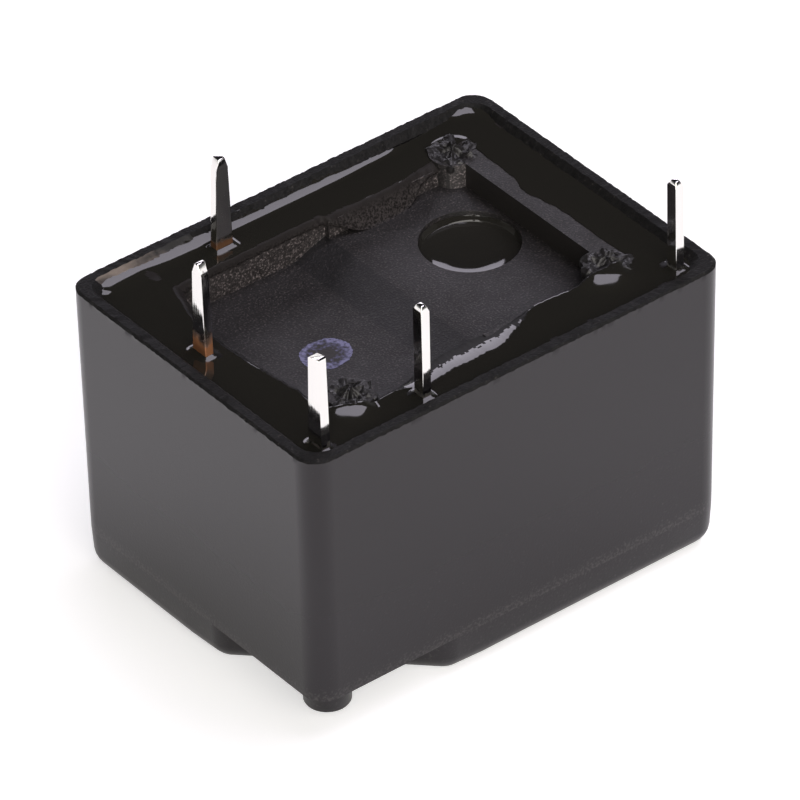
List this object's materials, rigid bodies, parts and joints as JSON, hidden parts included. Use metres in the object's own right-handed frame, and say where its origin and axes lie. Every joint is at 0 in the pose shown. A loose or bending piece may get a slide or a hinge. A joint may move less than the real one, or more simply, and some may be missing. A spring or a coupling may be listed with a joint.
{
  "type": "pcb power relay",
  "caption": "Sealed box-shaped power relay for a circuit board: black moulded case, resin-sealed stepped base with tinned blade terminals, and a coil, yoke and rocking armature inside.",
  "frame": {"origin": "middle of the closed face of the case, on which the relay lies with its terminals up", "axes": "+X along the case towards the lone coil pin, +Z out of the open end along the terminals"},
  "size_m": [0.0208, 0.0156, 0.0178],
  "materials": {
    "case_plastic": "fine satin moulding, black",
    "base_plastic": "spark-eroded grain, black",
    "resin": "poured epoxy, glossy black",
    "bobbin_plastic": "moulded, satin",
    "copper_wire": "enamelled copper",
    "tape": "thin polyester film",
    "soft_iron": "nickel plated soft iron",
    "tinned_copper": "bright tin over copper, coined tips",
    "brass": "plain rivets",
    "spring_bronze": "rolled spring sheet",
    "silver": "silver alloy, matt"
  },
  "bodies": {
    "housing": {"cover": "case_plastic", "base": "base_plastic", "sealing_resin": "resin", "plug_resin": "resin", "bobbin": "bobbin_plastic", "winding": "copper_wire", "winding_tape": "tape", "lead_wire_1": "copper_wire", "lead_wire_2": "copper_wire", "core": "soft_iron", "yoke": "soft_iron", "com_terminal": "tinned_copper", "com_rivets": "brass", "nc_terminal": "tinned_copper", "nc_contact": "silver", "no_terminal": "tinned_copper", "no_contact": "silver", "coil_pin_1": "tinned_copper", "coil_pin_2": "tinned_copper", "hinge_spring": "spring_bronze", "hinge_rivets": "brass"},
    "armature": {"armature": "soft_iron", "contact_spring": "spring_bronze", "spring_rivets": "brass", "moving_contact": "silver"}
  },
  "joints": [
    {"name": "armature_pivot", "type": "hinge", "parent": "housing", "child": "armature", "pos_m": [-0.0051, 0.00605, 0.0059], "axis": [0, 0, 1], "range_deg": [0, 5], "stiffness_Nm_per_rad": 0.002, "springref_deg": -28.65, "deforming": ["hinge_spring"]}
  ]
}
